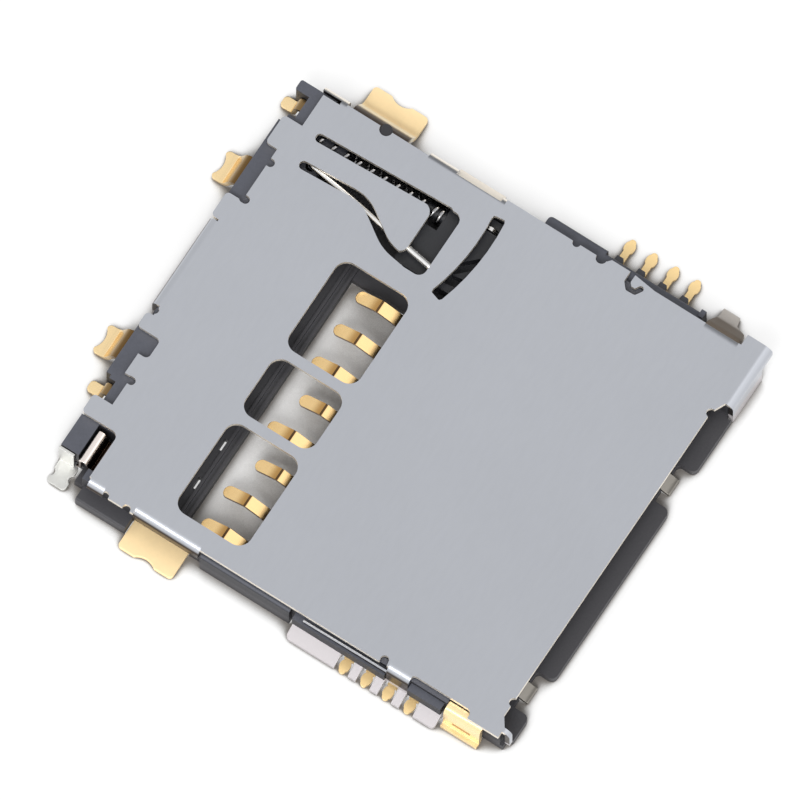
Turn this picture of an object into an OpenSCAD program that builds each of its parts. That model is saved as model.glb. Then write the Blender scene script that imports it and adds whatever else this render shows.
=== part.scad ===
// Push-push card socket for a small memory card: a folded steel shell over a
// moulded base, one row of spring contacts, and an eject slide with a
// heart-shaped track, a coil spring and a follower wire.
// The mouth faces -Y, the card goes in along +Y, and the solder plane is Z = 0.

/* [Shell] */
// Depth of the shell from the mouth corners to the back wall
shell_d = 14.9; // [14.7:0.1:15.6]
// Height of the shell's top above the board
shell_h = 1.3; // [1.25:0.05:1.6]
// Thickness of the shell's sheet
sheet_t = 0.15; // [0.1:0.01:0.18]
// Inside radius of the shell's folds
fold_r = 0.1; // [0.06:0.01:0.14]
// How far the mouth edge lies behind the mouth corners
mouth_recess = 0.45; // [0.3:0.05:0.6]
// Width of the front jamb that closes the shell beside the card
jamb_w = 1.7; // [1.5:0.05:1.8]
// How far the corner lug stands out of the right side wall
lug_out = 0.28; // [0.15:0.01:0.4]

/* [Windows] */
// Depth of the three windows along the card's path
window_d = 2.3; // [1.8:0.1:2.6]
// Room of a window to the right of its first contact's middle
window_lead = 0.52; // [0.4:0.01:0.55]
// Room of a window to the left of its last contact's middle
window_lag = 0.27; // [0.24:0.01:0.35]
// Corner radius of the windows
window_r = 0.38; // [0.2:0.02:0.6]

/* [Tongue] */
// Width of the slots that free the spring tongue
tongue_slot_w = 0.26; // [0.2:0.01:0.32]
// Length of the straight slot above the eject spring
tongue_slot_l = 4.05; // [3.8:0.05:4.2]
// Width of the arc slot in front of the tongue
arc_slot_w = 0.38; // [0.25:0.01:0.45]
// Mean radius of the arc slot
arc_slot_r = 6.5; // [5.5:0.1:7.5]
// Length of the arc slot from end to end
arc_slot_l = 2.7; // [2.3:0.05:2.8]

/* [Base] */
// Thickness of the base's floor
floor_t = 0.3; // [0.26:0.01:0.36]
// Thickness of the rail beside the card's straight edge
left_rail_t = 0.18; // [0.15:0.01:0.25]
// Thickness of the wall beside the eject slide
right_wall_t = 0.38; // [0.3:0.01:0.45]
// Width of the slide's bay between the card and the right wall
bay_w = 1.15; // [1.05:0.01:1.3]
// Distance from the back of the shell to the card stop
card_stop = 1.85; // [1.7:0.05:2]
// How far the right bar stands out beyond the shell
bar_out = 0.33; // [0.25:0.01:0.45]
// How far the left rear ear stands out beyond the shell
ear_out = 0.27; // [0.2:0.01:0.4]

/* [Contacts] */
// Distance between neighbouring contacts
contact_pitch = 1.1; // [1.05:0.01:1.12]
// Distance from the left rail to the last contact
row_left = 0.67; // [0.6:0.01:0.8]
// Distance from the first contact to the right edge of the card
row_right = 2.68; // [2.55:0.01:2.8]
// Width of a contact's beam
contact_w = 0.36; // [0.3:0.01:0.45]
// Thickness of the contact strip
contact_t = 0.12; // [0.1:0.01:0.14]
// Height of a contact's crest above the board
crest_h = 0.9; // [0.8:0.01:0.98]
// Distance from the back of the shell to the row of crests
crest_back = 5.2; // [5:0.05:5.4]
// How far the two staggered contacts lie nearer the mouth
stagger = 0.32; // [0.2:0.02:0.5]
// Distance between neighbouring solder tails
tail_pitch = 0.7; // [0.66:0.01:0.74]
// Width of a solder tail
tail_w = 0.31; // [0.26:0.01:0.36]
// Reach of the right tails beyond the shell
tail_right_out = 1.17; // [0.9:0.01:1.3]
// Reach of the left tails beyond the shell
tail_left_out = 0.42; // [0.38:0.01:0.65]

/* [Nails] */
// Thickness of the hold-down nails
nail_t = 0.15; // [0.12:0.01:0.18]
// Reach of the right nail beyond the shell
nail_right_out = 1.02; // [0.9:0.01:1.2]
// Reach of the left nail beyond the shell
nail_left_out = 0.7; // [0.6:0.01:0.85]
// Reach of the back nails beyond the shell
nail_back_out = 0.81; // [0.6:0.01:1]
// Width of the two side nails
nail_side_w = 1.75; // [1.5:0.05:1.9]
// Width of the two back nails
nail_back_w = 0.92; // [0.7:0.02:1.1]

/* [Eject slide] */
// Full travel of the eject slide
slide_travel = 2.3; // [1.8:0.1:2.4]
// Outer diameter of the eject spring
spring_od = 0.66; // [0.56:0.01:0.7]
// Diameter of the spring's wire
spring_wire_d = 0.12; // [0.1:0.01:0.13]
// Number of turns of the spring
spring_turns = 11.5; // [8.5:1:12.5]
// Diameter of the follower wire
follower_d = 0.2; // [0.16:0.01:0.22]
// Sideways shift of the follower's pin over the full travel
follower_shift = 0.33; // [0.2:0.01:0.4]

/* [Fits] */
// Gap between pieces that are seated on each other
seat_gap = 0.02; // [0.01:0.005:0.03]
// Gap beside pieces that slide or swing
run_gap = 0.05; // [0.03:0.005:0.06]

/* [Hidden] */
$fn = 32;

steel = "silver";
plastic = [0.2, 0.21, 0.24];
gold = [0.9, 0.74, 0.45];
tin = [0.75, 0.75, 0.74];

// Widths that follow from the row of contacts
contact_count = 8;
side_count = contact_count / 2;
card_slot_w = (contact_count - 1) * contact_pitch + row_left + row_right;
shell_w = 2 * (sheet_t + seat_gap) + left_rail_t + card_slot_w + bay_w + right_wall_t;

// Planes of the shell
x_r = shell_w / 2;
x_l = -x_r;
y_b = shell_d / 2;
y_f = -y_b;
fold_o = fold_r + sheet_t;
plate_z = shell_h - sheet_t;
mouth_y = y_f + mouth_recess;
edge_in = 0.06;
over = 0.5;
eps = 0.01;

// Planes of the base
body_x = x_r - sheet_t - seat_gap;
body_back = y_b - sheet_t - seat_gap;
body_front = y_f + sheet_t + seat_gap;
top_z = plate_z - fold_r / 2;
bare_back = y_b - seat_gap;
sill_y = y_f + seat_gap;
card_left = left_rail_t - body_x;
card_right = card_left + card_slot_w;
pocket_right = body_x - right_wall_t;
stop_y = y_b - card_stop;
bar_x = x_r + bar_out;

// Stamped edge of the plate, from the back edge and from the side walls
back_min = y_b - 0.8;
back_mid = y_b - 0.7;
back_in = y_b - 0.49;
lobe_short = y_b - 0.11;
back_wall_x = [-1.19, 1.69];
switch_notch = [1.69, 1.3];
relief_r = 0.12;
jamb_chamfer = 0.44;
window_contacts = [[0, 2], [3, 4], [5, 7]];

// Wall runs: from and to, measured forward from the back of the shell
right_hook_run = [0.62, 1.42];
hook_slot = [0.5, 1.22];
latch_run = [4.05, 6.53];
latch_window = [4.95, 6.4];
latch_sill = 1;
latch_bulge = [0.06, 0.07];
edge_tab_run = [7.2, 7.56];
left_hook_run = [1.35, 1.85];
left_wall_run = [2.85, 4.95];
flange_run = [0.54 * shell_d, shell_d - 2.05];
flange_neck_run = [0.742 * shell_d, 0.742 * shell_d + 0.7];
side_recess_run = [shell_d - 3.18, shell_d - 1.25];
side_recess = 0.3;
wing_run = [0.654 * shell_d, 0.763 * shell_d];
wing_out = 0.05;
leg_run = [shell_d - 1.95, shell_d - 0.88];
lug_run = [shell_d - 0.8, shell_d - fold_o];
bar_run = [0.515 * shell_d, shell_d - 2.15];
bar_step = 0.641 * shell_d;
bar_step_in = 0.1;
bar_end_r = 0.15;
rail_run = [5, 7.9];
rail_in = 0.02;
ear_run = [1.16, 2.76];
ear_top = 0.45;
wall_foot = 0.2;
hook_drop = 0.45;
flange_out = 0.4;
flange_up = 0.46;
flange_rise = 0.28;
ledge_out = 0.06;
ledge_top = 0.95;
arm_t = 0.06;
arm_l = 2.7;
arm_top = [1.13, 1.04];
leg_out = 0.86;
left_leg_w = 0.14;
left_leg_foot = 0.45;

// Contacts: X of the first one, and the lines of the tails
contact_x1 = card_right - row_right;
tail_y1 = y_b - 0.661 * shell_d;
run_w = 0.3;
root_y = y_b - 7.2;
tip_run = 0.76;
tip_drop = 0.3;
crease_d = 0.06;
neck_w = 0.2;
neck_l = 0.28;
tooth_l = 0.24;
tooth_w = 0.26;
tooth_top = 0.5;
opening_side = 0.2;
opening_front = root_y - 0.05;
opening_back = y_b - 4.05;
rib_h = 0.08;
rib_w = 0.09;
rib_step = 0.22;
drain_x = [-3.3, -4.6];
drain_l = 0.36;
drain_w = 0.1;

// Hold-down nails and feet
right_nail_y = y_b - 2.42;
left_nail_y = y_b - 3.67;
back_right_nail_x = 3.41;
back_left_nail_x = -2.5;
front_nail_run = [shell_d - 1.95, shell_d - 0.78];
front_nail_out = 0.22;
front_nail_top = 0.98;
front_nail_in = 0.12;
front_nail_slot = [0.36, 0.5];
nail_arm_z = 0.83;
nail_high_z = top_z - nail_t / 2 - seat_gap;
nail_arm_in = 0.26;
right_nail_slope = 0.42;
back_nail_slope = 0.3;
nail_bend = 0.24;
nail_peg_y = y_b - 2.67;
nail_peg_r = 0.17;
nail_bow = 0.12;
nail_bow_r = 0.5;
nail_corner_r = 0.12;
left_nail_in = 0.34;
terminal_w = 0.36;
terminal_z = 0.72;
terminal_out = 0.35;
terminal_face = y_b - 0.38;
back_right_terminal_x = x_r - 0.69;
back_left_terminal_x = -3.8;
foot_w = 0.52;
foot_x = [2.39, -4.68];
foot_in = 1.4;
foot_gap = [[1.74, 2.98], [-5.27, -4.06]];
foot_end = y_f + 0.3;
foot_notch = 0.1;

// Card-detect switch
detect_x = [x_l + 0.55, x_l + 1.55];
detect_block_x = [x_l + 0.65, x_l + 1.68];
detect_block = [0.11, 0.68];
detect_cut = 0.85;
detect_wall_t = 0.08;
detect_foot_out = 0.17;
detect_t = 0.08;
detect_roll_y = y_b - 0.9;
detect_roll_r = 0.12;
detect_top = 1.05;
detect_slope = 0.05;
detect_arm = 1.15;

// Eject slide
slide_left = x_r - 3.05;
slide_right = pocket_right - run_gap;
slide_top = shell_h - 0.46;
slide_front = y_b - 9.05;
slide_seat = y_b - 5.3;
slide_rear = y_b - 4.75;
slide_rear_right = x_r - 1.72;
slide_foot = floor_t + seat_gap;
spring_x = x_r - 1.25;
spring_z = floor_t + run_gap + spring_od / 2;
spring_back = y_b - 1;
peg_d = spring_od - 2 * spring_wire_d - run_gap;
peg_slide_l = 0.6;
peg_back_l = 1.1;
pivot = [x_r - 2.05, y_b - 1.45];
pin_home = [x_r - 2.76, y_b - 5.9];
track_floor = slide_top - 0.36;
follower_z = plate_z - seat_gap - follower_d / 2;
follower_bend_r = 0.2;
pin_foot = track_floor + run_gap + 0.02;
pivot_foot = 0.5;
track_w = follower_d + 2 * run_gap;
post_half = 0.3;
post_top = follower_z - follower_d / 2 - run_gap;
lock_t = 0.1;
lock_x = x_r - 0.9;
pocket_front = slide_front - run_gap - 0.05;

// Overall centre: the nails and tails reach further on some sides
x_mid = (tail_right_out - nail_left_out) / 2;
y_mid = nail_back_out / 2;

// Straight slot with round ends
module slot(p, q, w) {
    d = q - p;
    translate(p) rotate(atan2(d.y, d.x)) {
        translate([0, -w / 2]) square([norm(d), w]);
        circle(d = w);
        translate([norm(d), 0]) circle(d = w);
    }
}

// Chain of slots through a list of points
module track(points, w) {
    for (i = [0:len(points) - 2]) slot(points[i], points[i + 1], w);
}

// Rectangle between two corners
module rect(lo, hi) {
    translate(lo) square(hi - lo);
}

// Rectangle with four round corners
module round_rect(lo, hi, r) {
    rect(lo + [r, 0], hi - [r, 0]);
    rect(lo + [0, r], hi - [0, r]);
    for (x = [lo.x + r, hi.x - r]) for (y = [lo.y + r, hi.y - r]) translate([x, y]) circle(r);
}

// Sliver that rounds off a square corner at p; the kept material lies towards (sx, sy)
module ease(p, r, sx, sy) {
    translate(p) mirror([sx < 0 ? 1 : 0, 0]) mirror([0, sy < 0 ? 1 : 0]) difference() {
        translate([-eps, -eps]) square(r + eps);
        translate([r, r]) circle(r);
    }
}

// Box between two corners
module box(lo, hi) {
    translate(lo) cube(hi - lo);
}

function unit(v) = v / norm(v);
function side(a, b) = [a.y - b.y, b.x - a.x] / norm(b - a);
function mitre(p, i) =
    i == 0 ? side(p[0], p[1]) :
    i == len(p) - 1 ? side(p[i - 1], p[i]) :
    let (m = side(p[i - 1], p[i]) + side(p[i], p[i + 1])) 2 * m / (m * m);

// Corners of a line of points rounded off over a length r, or over one length for each corner
function soften(p, r, n = 5) = concat(
    [p[0]],
    [for (i = [1:len(p) - 2])
        let (s = is_list(r) ? r[i - 1] : r)
        let (a = p[i] + s * unit(p[i - 1] - p[i]), c = p[i] + s * unit(p[i + 1] - p[i]))
        for (k = [0:n])
            let (u = k / n)
            (1 - u) * (1 - u) * a + 2 * u * (1 - u) * p[i] + u * u * c],
    [p[len(p) - 1]]
);

// Strip of metal of thickness t along a line of points
module strip(p, t) {
    polygon(concat(
        [for (i = [0:len(p) - 1]) p[i] + mitre(p, i) * t / 2],
        [for (i = [len(p) - 1:-1:0]) p[i] - mitre(p, i) * t / 2]
    ));
}

// Profile in (x, z) extruded between two Y values
module along_y(y0, y1) {
    translate([0, y1, 0]) rotate([90, 0, 0]) linear_extrude(y1 - y0) children();
}

// Profile in (y, z) extruded between two X values
module along_x(x0, x1) {
    translate([x0, 0, 0]) rotate([90, 0, 90]) linear_extrude(x1 - x0) children();
}

// Profile of a fold: the plate's flat ends at x = 0, the wall reaches down to z
module fold_profile(z) {
    translate([0, shell_h - fold_o]) intersection() {
        difference() {
            circle(fold_o);
            circle(fold_r);
        }
        square(fold_o);
    }
    rect([-eps, plate_z], [0, shell_h]);
    rect([fold_r, z], [fold_o, shell_h - fold_o]);
}

// Side wall over a run that is measured forward from the back; way is 1 right, -1 left
module side_wall(way, run, z) {
    mirror([way < 0 ? 1 : 0, 0, 0]) translate([x_r - fold_o, 0, 0])
        along_y(y_b - run[1], y_b - run[0]) fold_profile(z);
}

// Wall folded down at the back (way 1) or at the mouth (way -1) between two X values
module end_wall(way, x0, x1, z) {
    mirror([0, way < 0 ? 1 : 0, 0]) translate([0, y_b - fold_o, 0])
        along_x(x0, x1) fold_profile(z);
}

// Rounded lobe of the back edge
module back_lobe(x0, x1, y) {
    round_rect([x0, back_min - over], [x1, y], relief_r);
}

// Field of the plate between its folds, with the lobes of the back edge
module plate_field() {
    rect([x_l + fold_o, mouth_y], [x_r - fold_o, back_min]);
    rect([back_wall_x[0], back_min - eps], [back_wall_x[1], y_b - fold_o]);
    back_lobe(x_r - 2.25, x_r - 1.33, lobe_short);
    back_lobe(1.75, 2.55, y_b);
    back_lobe(-1.99, -1.5, y_b - 0.04);
    back_lobe(x_l + switch_notch[0], x_l + 2.3, y_b - 0.1);
    rect([2.5, back_min - eps], [x_r - 2.15, back_in]);
    rect([x_r - 1.45, back_min - eps], [x_r - 0.19, back_mid]);
    rect([-3.3, back_min - eps], [-2.64, back_in]);
    rect([x_l + 2.15, back_min - eps], [-3.5, back_mid]);
    rect([-1.6, back_min - eps], [back_wall_x[0] + eps, y_b - fold_o]);
    rect([1.6, back_min - eps], [1.8, y_b - fold_o]);
    ease([-2.64, back_min], 0.14, 1, 1);
    ease([-1.99, back_min], 0.14, -1, 1);
}

// Free edges of the plate, where it has no wall
module plate_edges() {
    right_edge = x_r - edge_in;
    left_edge = x_l + edge_in;
    rect([x_r - fold_o - eps, y_b - latch_run[0]], [right_edge - 0.1, y_b - right_hook_run[1]]);
    rect([x_r - fold_o - eps, y_b - leg_run[0]], [right_edge, y_b - latch_run[1]]);
    rect([x_r - fold_o - eps, y_b - lug_run[1]], [x_r + lug_out, y_b - lug_run[0]]);
    rect([x_r - fold_o - eps, y_b - lug_run[0]], [right_edge, y_b - leg_run[1]]);
    polygon([
        [right_edge - eps, y_b - wing_run[0]],
        [x_r + wing_out, y_b - wing_run[0] - 0.1],
        [x_r + wing_out, y_b - wing_run[0] - 0.75],
        [right_edge - eps, y_b - wing_run[1]]
    ]);
    rect([left_edge - edge_in, y_b - left_wall_run[0]], [x_l + fold_o + eps, y_b - left_hook_run[1]]);
    rect([left_edge + edge_in, y_b - flange_neck_run[0]], [x_l + fold_o + eps, y_b - left_wall_run[1]]);
    rect([left_edge, y_f + fold_o], [x_l + fold_o + eps, y_b - flange_neck_run[1]]);
}

// Mouth corners: the jamb's corner on the right, a short one on the left
module plate_corners() {
    polygon([
        [x_r - jamb_w - jamb_chamfer, mouth_y + eps],
        [x_r - jamb_w, y_f + fold_o],
        [x_r - fold_o, y_f + fold_o],
        [x_r - fold_o, mouth_y + eps]
    ]);
    polygon([
        [x_l + fold_o + left_leg_w + 0.3, mouth_y + eps],
        [x_l + fold_o + left_leg_w, y_f + fold_o],
        [x_l + fold_o, y_f + fold_o],
        [x_l + fold_o, mouth_y + eps]
    ]);
}

// Openings over the contacts
module windows() {
    y1 = y_b - 3.65;
    y0 = y1 - window_d;
    for (w = window_contacts)
        round_rect([contact_x(w[1]) - window_lag, y0], [contact_x(w[0]) + window_lead, y1], window_r);
}

// Slots round the spring tongue: straight, dog-leg, and the wide opening at its tip
module tongue_slots() {
    back = y_b - 1.3;
    tip = y_b - 4.98;
    front = y_b - 5.78;
    slot([x_r - 1.36, back], [x_r - 1.2, back - tongue_slot_l], tongue_slot_w);
    dog_leg = soften([
        [x_r - 2.25, back - 0.05],
        [x_r - 2.15, y_b - 3.28],
        [x_r - 2.95, y_b - 4.46],
        [x_r - 3.05, y_b - 5.1]
    ], [0.4, 0.3]);
    strip(dog_leg, tongue_slot_w);
    for (p = [dog_leg[0], dog_leg[len(dog_leg) - 1]]) translate(p) circle(d = tongue_slot_w);
    round_rect([x_r - 3.2, front], [x_r - 1.12, tip], 0.24);
    ease([x_r - 1.345, tip], 0.3, -1, 1);
    ease([x_r - 2.9, tip], 0.25, 1, 1);
}

// Curved slot in front of the tongue
module arc_slot() {
    half = asin(arc_slot_l / 2 / arc_slot_r);
    tilt = -5.3;
    reach = arc_slot_r + over;
    end = [0.07, arc_slot_w / 2 - 0.015];
    translate([x_r - 2.03, y_b - 6.655]) rotate(tilt) translate([0, arc_slot_r]) {
        intersection() {
            difference() {
                circle(arc_slot_r + arc_slot_w / 2, $fn = 96);
                circle(arc_slot_r - arc_slot_w / 2, $fn = 96);
            }
            polygon([[0, 0], [-reach * tan(half), -reach], [reach * tan(half), -reach]]);
        }
        for (turn = [-half, half]) rotate(turn) translate([0, -arc_slot_r])
            round_rect(-end, end, 0.06);
    }
}

// Round reliefs and notches along the stamped edge
module edge_notches() {
    for (p = [[3.87, back_in], [2.62, back_in], [-3.4, back_mid], [-1.35, y_b - 0.13]])
        slot(p, p - [0, 0.06], 2 * relief_r);
    translate([x_r - edge_in, y_b - 8.77]) circle(relief_r);
    translate([x_r - edge_in, y_b - wing_run[0] + 0.17]) circle(relief_r + 0.04);
    for (f = [left_hook_run[1] + 0.08, 2.63]) translate([x_l + 0.02, y_b - f]) circle(relief_r);
    slot([body_x, nail_peg_y], [x_r + over, nail_peg_y], 2 * (nail_peg_r + seat_gap));
    slot([x_l + 0.24, y_b - 10.86], [x_l - over, y_b - 11], 2 * relief_r);
    wing_hook();
    for (x = [x_l + 1.12, x_r - jamb_w - jamb_chamfer]) translate([x, mouth_y - 0.02]) circle(0.13);
    round_rect([x_l - over, y_b - switch_notch[1]], [x_l + switch_notch[0], y_b + over], 0.2);
    rect([x_r - 1.15, back_mid + eps], [x_r + over, y_b + over]);
    round_rect([x_l - over, y_b - side_recess_run[1]], [x_l + side_recess, y_b - side_recess_run[0]], 0.15);
    slot([x_r - 0.21, y_b - hook_slot[0] + over], [x_r - 0.21, y_b - hook_slot[1]], 0.12);
}

// Hook-shaped slot that frees a small spring tab in the right edge
module wing_hook() {
    y = y_b - wing_run[0] - 0.78;
    track([
        [x_r + over, y], [x_r - 0.23, y], [x_r - 0.38, y - 0.13],
        [x_r - 0.37, y - 0.33], [x_r - 0.22, y - 0.42]
    ], 0.17);
}

module plate() {
    translate([0, 0, plate_z]) linear_extrude(sheet_t) difference() {
        union() {
            plate_field();
            plate_edges();
            plate_corners();
        }
        windows();
        tongue_slots();
        arc_slot();
        edge_notches();
    }
}

// Slotted ground flange under the left tails, its low upright and the spring arm above it
module ground_flange() {
    y0 = y_b - flange_run[1];
    y1 = y_b - flange_run[0];
    neck = y_b - flange_neck_run[0];
    difference() {
        union() {
            box([x_l, y0, 0], [x_l + sheet_t, y1, flange_up]);
            box([x_l, y_b - flange_neck_run[1], flange_up - eps],
                [x_l + sheet_t, neck, shell_h - fold_o + eps]);
            intersection() {
                along_y(y0, y1) polygon([
                    [x_l - flange_out, 0], [x_l - flange_out, sheet_t],
                    [x_l + sheet_t, flange_rise + sheet_t], [x_l + sheet_t, flange_rise]
                ]);
                linear_extrude(shell_h)
                    round_rect([x_l - flange_out, y0], [x_l + sheet_t + over, y1], nail_corner_r);
            }
        }
        for (i = [0:side_count - 1])
            box([x_l - over - flange_out, tail_y(i) - tail_w / 2 - 0.07, -over],
                [x_l + over, tail_y(i) + tail_w / 2 + 0.07, flange_up - 0.08]);
    }
    along_x(x_l, x_l + arm_t) polygon([
        [neck - eps, ledge_top + 2 * seat_gap], [neck - eps, arm_top[0]],
        [neck + arm_l, arm_top[1]], [neck + arm_l, arm_top[1] - arm_t]
    ]);
}

// Gull-wing solder leg on the right
module solder_leg() {
    line = soften([
        [x_r - fold_o - eps, plate_z + sheet_t / 2],
        [x_r - 0.02, plate_z + sheet_t / 2],
        [x_r + 0.56, sheet_t / 2],
        [x_r + leg_out, sheet_t / 2]
    ], [0.2, 0.16]);
    y0 = y_b - leg_run[1];
    y1 = y_b - leg_run[0];
    intersection() {
        along_y(y0, y1) strip(line, sheet_t);
        linear_extrude(shell_h) polygon([
            [x_r - over, y0], [x_r + 0.1, y0], [x_r + 0.42, y0 + 0.14], [x_r + 0.62, y0 + 0.5],
            [x_r + leg_out, y0 + 0.55], [x_r + leg_out, y1], [x_r - over, y1]
        ]);
    }
}

module shell() {
    color(steel) {
        plate();
        difference() {
            side_wall(1, right_hook_run, shell_h - hook_drop);
            box([x_r - fold_o - over, y_b - hook_slot[1], plate_z - over],
                [x_r - sheet_t, y_b - hook_slot[0] + over, shell_h + over]);
        }
        difference() {
            side_wall(1, latch_run, wall_foot);
            box([x_r - fold_o + 0.06, y_b - latch_window[1], latch_sill],
                [x_r + over, y_b - latch_window[0], shell_h + over]);
        }
        box([x_r - latch_bulge[0], y_b - latch_window[1] - eps, latch_sill - 0.2],
            [x_r + latch_bulge[1], y_b - latch_window[0] + eps, latch_sill]);
        side_wall(1, edge_tab_run, shell_h - fold_o - eps);
        side_wall(-1, left_hook_run, shell_h - fold_o - eps);
        side_wall(-1, left_wall_run, shell_h - hook_drop);
        side_wall(-1, flange_neck_run, shell_h - fold_o - eps);
        end_wall(1, back_wall_x[0], back_wall_x[1], wall_foot);
        end_wall(-1, x_r - jamb_w, x_r - fold_o, 0);
        end_wall(-1, x_r - fold_o - eps, x_r + lug_out, shell_h - hook_drop);
        end_wall(-1, x_l + fold_o, x_l + fold_o + left_leg_w, left_leg_foot);
        ground_flange();
        solder_leg();
    }
}

function contact_x(i) = contact_x1 - contact_pitch * i;
function crest_y(i) = y_b - crest_back - (i == 3 || i == 5 ? stagger : 0);
function tail_y(i) = tail_y1 - tail_pitch * i;
function tail_row(i) = i < side_count ? i : contact_count - 1 - i;
function tail_way(i) = i < side_count ? 1 : -1;
function tail_end(i) = i < side_count ? x_r + tail_right_out : x_l - tail_left_out;

// Centre line of a contact's beam in (y, z), from the tail's line to the tip
function beam_line(i) =
    let (c = crest_y(i), z = contact_t / 2, top = crest_h - contact_t / 2)
    concat(
        [[tail_y(tail_row(i)) - run_w / 2, z]],
        soften([
            [root_y - 0.3, z],
            [root_y + 0.15, z],
            [c - 0.62, top - 0.2],
            [c, top],
            [c + tip_run, top - tip_drop]
        ], [0.14, 0.14, 0.06, 0.04])
    );

// Spring contact i: solder tail, run under the floor, rising beam, crest and tip
module contact(i) {
    x = contact_x(i);
    y = tail_y(tail_row(i));
    way = tail_way(i);
    color(gold) {
        difference() {
            intersection() {
                along_x(x - contact_w / 2, x + contact_w / 2) strip(beam_line(i), contact_t);
                linear_extrude(shell_h)
                    slot([x, y - over], [x, crest_y(i) + tip_run - contact_w / 2], contact_w);
            }
            translate([x, crest_y(i), crest_h]) rotate([0, 90, 0])
                cylinder(d = crease_d, h = contact_w + over, center = true);
        }
        linear_extrude(contact_t) {
            rect([min(x, way * x_r), y - run_w / 2], [max(x, way * x_r), y + run_w / 2]);
            tail_plan(tail_end(i), y, way);
        }
    }
}

// Plan of a solder tail: narrow neck, wide pad and a narrower tip
module tail_plan(end, y, way) {
    slot([way * (x_r - eps), y], [end - way * neck_l, y], neck_w);
    slot([end - way * neck_l, y], [end - way * (tail_w / 2 + 0.06), y], tail_w);
    translate([end - way * neck_w / 2, y]) circle(d = neck_w);
}

module contact_1() { contact(0); }
module contact_2() { contact(1); }
module contact_3() { contact(2); }
module contact_4() { contact(3); }
module contact_5() { contact(4); }
module contact_6() { contact(5); }
module contact_7() { contact(6); }
module contact_8() { contact(7); }

// Grooves in the underside of the floor for the contacts and the flat inserts
module contact_grooves() {
    for (i = [0:contact_count - 1]) {
        x = contact_x(i);
        y = tail_y(tail_row(i));
        way = tail_way(i);
        reach = way * (x_r + bar_out + over);
        g = seat_gap;
        translate([0, 0, -over]) linear_extrude(over + contact_t + g) {
            rect([x - contact_w / 2 - g, y - run_w / 2 - g], [x + contact_w / 2 + g, root_y + over]);
            rect([min(x, reach), y - run_w / 2 - g], [max(x, reach), y + run_w / 2 + g]);
        }
    }
}

// Plan of a nail's foot: notched end with round corners, foot along +X from x = 0
module foot_plan(w, reach) {
    difference() {
        union() {
            rect([-over - reach, -w / 2], [reach - nail_corner_r, w / 2]);
            round_rect([0, -w / 2], [reach, w / 2], nail_corner_r);
        }
        translate([reach + nail_bow_r - nail_bow, 0]) circle(nail_bow_r);
    }
}

// Nail with an arm into the base, a leg that slopes down over a length and a foot out, along +X;
// face is the outer face of the base and reach the foot's end, both from x = 0
module staple_nail(face, reach, w, arm_z, slope) {
    leg = face + 2 * seat_gap + nail_t / 2;
    line = soften([
        [face - nail_arm_in, arm_z], [leg, arm_z],
        [leg + slope, nail_t / 2], [reach, nail_t / 2]
    ], nail_bend);
    intersection() {
        along_y(-w / 2, w / 2) strip(line, nail_t);
        linear_extrude(shell_h) foot_plan(w, reach);
    }
}

// Slot in the base for a staple nail's arm, up to the height z
module staple_slot(face, w, arm_z, z) {
    g = seat_gap;
    box([face - nail_arm_in - g, -w / 2 - g, arm_z - nail_t / 2 - 2 * g], [face + over, w / 2 + g, z]);
}

module right_nail() {
    color(gold) difference() {
        translate([0, right_nail_y, 0])
            staple_nail(body_x, x_r + nail_right_out, nail_side_w, nail_high_z, right_nail_slope);
        // Slit round the peg of the base
        linear_extrude(shell_h)
            slot([body_x - over, nail_peg_y], [body_x, nail_peg_y], 2 * (nail_peg_r + seat_gap));
    }
}

module left_nail() {
    color(gold) translate([0, left_nail_y, 0]) mirror([1, 0, 0])
        linear_extrude(nail_t) intersection() {
            foot_plan(nail_side_w, x_r + nail_left_out);
            rect([body_x - left_nail_in, -shell_d], [2 * x_r, shell_d]);
        }
}

module back_nail(x) {
    color(gold) translate([x, 0, 0]) rotate(90)
        staple_nail(bare_back, y_b + nail_back_out, nail_back_w, nail_arm_z, back_nail_slope);
}

module back_right_nail() { back_nail(back_right_nail_x); }
module back_left_nail() { back_nail(back_left_nail_x); }

// Upright nail at the left of the mouth, with a slot in its sloping face
module front_left_nail() {
    y = y_b - (front_nail_run[0] + front_nail_run[1]) / 2;
    w = front_nail_run[1] - front_nail_run[0];
    line = soften([
        [body_x - front_nail_in, front_nail_top], [body_x + seat_gap + 0.12, front_nail_top],
        [x_r + 0.02, nail_t / 2], [x_r + front_nail_out, nail_t / 2]
    ], [0.16, 0.1]);
    color(gold) translate([0, y, 0]) mirror([1, 0, 0]) difference() {
        along_y(-w / 2, w / 2) strip(line, nail_t);
        box([body_x, -w / 4, front_nail_slot[0]], [x_r + over, w / 4, front_nail_slot[1]]);
    }
}

// Small solder terminal at the back: arm in the base, leg down and a round-ended foot
module terminal(x) {
    w = terminal_w;
    reach = y_b + terminal_out;
    leg = terminal_face + seat_gap + nail_t / 2;
    line = soften([
        [terminal_face - nail_arm_in, terminal_z], [leg + 0.08, terminal_z],
        [leg + 0.2, nail_t / 2], [reach, nail_t / 2]
    ], [0.16, 0.12]);
    color(gold) translate([x, 0, 0]) rotate(90) intersection() {
        along_y(-w / 2, w / 2) strip(line, nail_t);
        linear_extrude(shell_h) {
            rect([0, -w / 2], [reach - nail_corner_r, w / 2]);
            round_rect([0, -w / 2], [reach, w / 2], nail_corner_r);
        }
    }
}

module back_right_terminal() { terminal(back_right_terminal_x); }
module back_left_terminal() { terminal(back_left_terminal_x); }

// Front foot: flat in the floor, stepping down to the board in a gap of the sill
module front_foot(x) {
    line = soften([
        [mouth_y + foot_in - foot_notch, floor_t - nail_t / 2 - seat_gap],
        [mouth_y + 0.22, floor_t - nail_t / 2 - seat_gap],
        [mouth_y - 0.02, nail_t / 2],
        [foot_end, nail_t / 2]
    ], 0.08);
    color(tin) along_x(x - foot_w / 2, x + foot_w / 2) strip(line, nail_t);
}

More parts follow.
